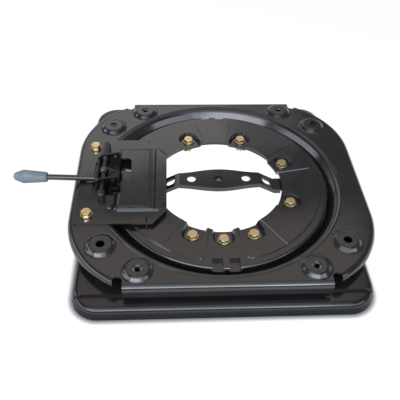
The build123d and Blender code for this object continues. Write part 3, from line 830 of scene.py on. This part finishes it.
@dataclass
class LatchCover(SubAssembly):
    """The pressed cover with its bolts, a small white spot in front of each bolt, the pin and its
    saddles.
    """

    body: Body = Body.TOP
    cover_edge_mm: float = 0.45
    bolt_edge_mm: float = 0.35
    washer_edge_mm: float = 0.25
    clip_edge_mm: float = 0.2
    # Where each dab is, from its bolt's middle.
    dab_places_mm: tuple[tuple[float, float], ...] = ((0.6, -12.3), (1.0, -13.7))
    dab_radius_mm: float = 2.0
    # A dab's rim wanders between these shares of its radius, and its top is narrower by the last.
    dab_least: float = 0.75
    dab_most: float = 1.2
    dab_crown: float = 0.7
    dab_height_mm: float = 0.3
    dab_points: int = 18
    dab_seed: int = 7

    def build_dabs(self, paint: bpy.types.Material) -> None:
        """Press a small raised white spot on the cover in front of each bolt.

        Args:
            paint: the spots' off-white finish.
        """
        chance = random.Random(self.dab_seed)
        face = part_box("cover_washers")[0].z
        shape = bmesh.new()
        washers = island_boxes("cover_washers")
        for (low, high), (shift_x, shift_y) in zip(washers, self.dab_places_mm):
            middle = (low + high) / 2 + Vector((shift_x, shift_y, 0.0)) * MM
            middle.z = face
            made = bmesh.ops.create_circle(
                shape, cap_ends=True, segments=self.dab_points, radius=self.dab_radius_mm * MM,
                matrix=Matrix.Translation(middle),
            )
            for vertex in made["verts"]:
                share = chance.uniform(self.dab_least, self.dab_most)
                vertex.co = middle + (vertex.co - middle) * share
            flat = [made["verts"][0].link_faces[0]]
            raised = bmesh.ops.extrude_face_region(shape, geom=flat, use_keep_orig=True)["geom"]
            top = [item for item in raised if isinstance(item, bmesh.types.BMVert)]
            bmesh.ops.translate(shape, verts=top, vec=(0, 0, self.dab_height_mm * MM))
            bmesh.ops.scale(
                shape, verts=top, vec=(self.dab_crown, self.dab_crown, 1.0),
                space=Matrix.Translation(-middle),
            )
        # The record has no slot for paint, so the dabs take the palest one.
        self.add_piece("white_spots_at_bolts", shape, paint, Slot.BRIGHT_ZINC)

    def build(
        self, coat: bpy.types.Material, worn: bpy.types.Material, zinc: bpy.types.Material,
        pale: bpy.types.Material, bright: bpy.types.Material, paint: bpy.types.Material,
    ) -> None:
        """Dress the cover and what it carries.

        Args:
            coat: the black paint.
            worn: the thin paint of the saddles and the pin.
            zinc: the bolts' plating.
            pale: the washers' plating.
            bright: the clips' plating.
            paint: the spots' off-white finish.
        """
        self.soften("latch_cover", coat, Slot.BLACK_STEEL, self.cover_edge_mm)
        self.dress(worn, "pin_saddles", "pivot_pin")
        self.soften("cover_bolts", zinc, Slot.YELLOW_ZINC, self.bolt_edge_mm)
        self.soften("cover_washers", pale, Slot.YELLOW_ZINC, self.washer_edge_mm)
        self.soften("cover_nuts", zinc, Slot.YELLOW_ZINC, self.bolt_edge_mm)
        self.soften("pin_clips", bright, Slot.BRIGHT_ZINC, self.clip_edge_mm)
        self.build_dabs(paint)


@dataclass
class ReturnSpring(SubAssembly):
    """The coil spring on the latch pin, wound from round wire with two straight legs."""

    body: Body = Body.TOP
    wire_mm: float = 1.6
    coil_mm: float = 4.4
    pitch_mm: float = 2.2
    first_y_mm: float = 14.0
    # Degrees round the pin at which the coil leaves the leg on the teeth.
    first_angle: float = 60.7
    turns: float = 4.3314
    tooth_leg_mm: float = 15.0
    plate_leg_mm: float = 11.7
    wire_sides: int = 14
    steps_a_turn: int = 36

    def build(self, wire: bpy.types.Material) -> None:
        """Wind the spring in the place of its solid.

        Args:
            wire: the oiled wire.
        """
        pin = hinge_place("latch_lever")
        centre = Vector((pin[0], self.first_y_mm * MM, pin[2]))
        angle = math.radians(self.first_angle)
        out = Vector((math.cos(angle), 0.0, math.sin(angle)))
        along = Vector((-math.sin(angle), 0.0, math.cos(angle)))
        turn = Matrix((out, Vector((0, -1, 0)), along)).transposed().to_4x4()
        shape = bmesh.new()
        start = centre + out * self.coil_mm * MM - along * self.tooth_leg_mm * MM
        made = bmesh.ops.create_circle(
            shape, cap_ends=True, segments=self.wire_sides, radius=self.wire_mm / 2 * MM,
            matrix=Matrix.Translation(start) @ turn,
        )
        loop = list(dict.fromkeys(edge for vertex in made["verts"] for edge in vertex.link_edges))
        loop = self.pull(shape, loop, along * self.tooth_leg_mm * MM)
        steps = round(self.turns * self.steps_a_turn)
        wound = bmesh.ops.spin(
            shape, geom=loop, cent=centre, axis=(0, -1, 0),
            dvec=(0, -self.pitch_mm * self.turns * MM / steps, 0),
            angle=math.tau * self.turns, steps=steps, use_merge=False,
        )["geom_last"]
        loop = [item for item in wound if isinstance(item, bmesh.types.BMEdge)]
        loop = self.pull(shape, loop, Vector((0, 0, -self.plate_leg_mm * MM)))
        bmesh.ops.contextual_create(shape, geom=loop)
        piece = self.add_piece("return_spring_coil", shape, wire, Slot.SPRING_STEEL)
        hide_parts("return_spring")

    def pull(
        self, shape: bmesh.types.BMesh, loop: list[bmesh.types.BMEdge], way: Vector,
    ) -> list[bmesh.types.BMEdge]:
        """Pull a loop of edges straight on.

        Args:
            shape: the wire so far.
            loop: the edges of its open end.
            way: how far and where to.

        Returns:
            The edges of the new end.
        """
        pulled = bmesh.ops.extrude_edge_only(shape, edges=loop)["geom"]
        points = [item for item in pulled if isinstance(item, bmesh.types.BMVert)]
        bmesh.ops.translate(shape, verts=points, vec=way)
        return [item for item in pulled if isinstance(item, bmesh.types.BMEdge)
                and all(vertex in points for vertex in item.verts)]


@dataclass
class LatchLever(SubAssembly):
    """The yoke with its teeth, the bent rod welded to it and the plastic grip."""

    body: Body = Body.LEVER
    yoke_edge_mm: float = 0.5
    # The bead's middle is this far from the pin in x and z, and here in y.
    weld_x_mm: float = -11.4
    weld_y_mm: float = -3.0
    weld_z_mm: float = -3.9
    weld_radius_mm: float = 4.6
    weld_bead_mm: float = 1.3
    # The bead runs round the rod between these degrees, and its drops differ by these shares.
    weld_first: float = -20.0
    weld_last: float = 200.0
    drop_least: float = 0.9
    drop_most: float = 1.1
    drop_subdivisions: int = 2
    weld_drops: int = 16
    weld_seed: int = 3
    # The grip rises by these degrees, and is at half its box's height this far before the nose.
    grip_slope: float = 2.9
    grip_nose_mm: float = 14.5
    grip_steps: int = 48
    # How far along the rod and how wide, from the end of the bore round the neck to the nose.
    grip_profile_mm: tuple[tuple[float, float], ...] = (
        (42.0, 0.0), (42.0, 4.25), (0.0, 4.25), (0.0, 6.6), (0.7, 7.4), (20.0, 8.95), (32.2, 9.85),
        (33.6, 9.9), (35.0, 9.6), (37.0, 8.9), (43.8, 6.3), (45.6, 5.5), (47.0, 4.4), (47.8, 2.8),
        (48.0, 0.0),
    )

    def build_weld(self, coat: bpy.types.Material) -> None:
        """Lay the bead of weld that holds the rod on the yoke, drop by drop.

        Args:
            coat: the black paint over it.
        """
        chance = random.Random(self.weld_seed)
        pin = hinge_place("latch_lever")
        centre = Vector((
            pin[0] + self.weld_x_mm * MM, self.weld_y_mm * MM, pin[2] + self.weld_z_mm * MM,
        ))
        shape = bmesh.new()
        for drop in range(self.weld_drops):
            share = drop / (self.weld_drops - 1)
            angle = math.radians(self.weld_first + (self.weld_last - self.weld_first) * share)
            out = Vector((0.0, math.cos(angle), math.sin(angle))) * self.weld_radius_mm * MM
            size = chance.uniform(self.drop_least, self.drop_most)
            bmesh.ops.create_icosphere(
                shape, subdivisions=self.drop_subdivisions, radius=self.weld_bead_mm * MM * size,
                matrix=Matrix.Translation(centre + out),
            )
        self.add_piece("rod_weld_bead", shape, coat, Slot.BLACK_STEEL)

    def build_grip(self, plastic: bpy.types.Material) -> None:
        """Turn the grip round the rod's line, with its blunt nose and soft edges.

        Args:
            plastic: the grip's plastic.
        """
        low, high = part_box("lever_grip")
        slope = math.radians(self.grip_slope)
        along = Vector((-math.cos(slope), 0.0, math.sin(slope)))
        upright = Vector((math.sin(slope), 0.0, math.cos(slope)))
        middle = (low + high) / 2
        tip = Vector((low.x, middle.y, middle.z + self.grip_nose_mm * MM * math.sin(slope)))
        neck = tip - along * self.grip_profile_mm[-1][0] * MM
        shape = bmesh.new()
        points = [
            shape.verts.new(neck + (along * reach + upright * radius) * MM)
            for reach, radius in self.grip_profile_mm
        ]
        edges = [shape.edges.new(pair) for pair in zip(points, points[1:])]
        bmesh.ops.spin(
            shape, geom=points + edges, cent=neck, axis=along, angle=math.tau,
            steps=self.grip_steps, use_merge=True,
        )
        bmesh.ops.remove_doubles(shape, verts=shape.verts, dist=WELD)
        piece = self.add_piece("lever_grip_moulded", shape, plastic, Slot.GRIP_PLASTIC)
        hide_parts("lever_grip")

    def build(
        self, coat: bpy.types.Material, deep: bpy.types.Material, grip: bpy.types.Material,
    ) -> None:
        """Dress the lever and weld its rod.

        Args:
            coat: the black paint.
            deep: the yoke's black, darkened as painted shade.
            grip: the grip's plastic.
        """
        # The yoke takes the darkest black, which stands for painted shade in the window.
        self.soften("latch_yoke", deep, Slot.BLACK_STEEL, self.yoke_edge_mm)
        self.dress(coat, "lever_rod")
        self.build_grip(grip)
        self.build_weld(coat)


def main() -> None:
    """Dress the part, add its fine pieces and set up the studio."""
    logging.basicConfig(level=logging.INFO, format="%(name)s: %(message)s")
    # Baked dip paint: deep black, with the long clear highlights of the lamps on every bend.
    coat = DipCoat().build()
    # The same paint, less glossy on the pan: its highlights are softer than the plate's.
    dull = DipCoat(name="satin_dip_coat", smooth=0.13, dull=0.22, specular=0.65).build()
    # A thin coat on bent straps and the pin: dark grey and nearly matt.
    worn = DipCoat(
        name="thin_black_coat", dark="#17181a", pale="#2b2d2e", smooth=0.28, dull=0.42,
        specular=0.6,
    ).build()
    # The yoke's paint, made the darkest black here as painted shade inside the cover's window, with
    # a dim shine.
    deep = DipCoat(
        name="shaded_black_coat", dark="#0c0c0d", pale="#141414", smooth=0.2, dull=0.32,
        specular=0.4,
    ).build()
    # Zinc with a yellow film: warm gold that goes to straw and to a greenish white in patches.
    yellow = Plating().build()
    # Zinc with a dull straw-grey film, darker and duller than the bolt heads; on the nuts and
    # threads under the ring that darkness is painted shade.
    pale = Plating(
        name="pale_zinc_plate",
        tints=((0.3, "#a2987a"), (0.45, "#c4ba98"), (0.6, "#b4af90"), (0.75, "#978c70")),
    ).build()
    # Zinc with a clear film: a cool silver grey.
    bright = Plating(
        name="bright_zinc_plate",
        tints=((0.3, "#a9adb1"), (0.5, "#c5c8ca"), (0.7, "#b3b7bd")),
    ).build()
    # Drawn steel wire with a film of oil: dark grey, with a thin glint along each turn.
    wire = Plating(
        name="oiled_spring_wire",
        tints=((0.3, "#4a4b4d"), (0.5, "#6d6e70"), (0.7, "#56575a")),
    ).build()
    # Moulded plastic with a touch of blue: soft and even, with no sharp highlight.
    grip = MouldedPlastic().build()
    # Moulded acetal: the same soft grain in black.
    glide = MouldedPlastic(name="black_glide_plastic", dark="#151515", pale="#1d1d1d").build()
    # An off-white finish for the spots at the bolts, with a slight shine.
    paint = MouldedPlastic(
        name="white_spot_finish", dark="#c2c4bf", pale="#d8dad4", rough=0.4,
    ).build()
    BasePan().build(dull, coat, glide)
    ClampRing().build(coat, yellow, pale)
    TopPlate().build(coat, bright)
    LatchCover().build(coat, worn, yellow, pale, bright, paint)
    ReturnSpring().build(wire)
    LatchLever().build(coat, deep, grip)
    Studio().build()


if __name__ == "__main__":
    main()
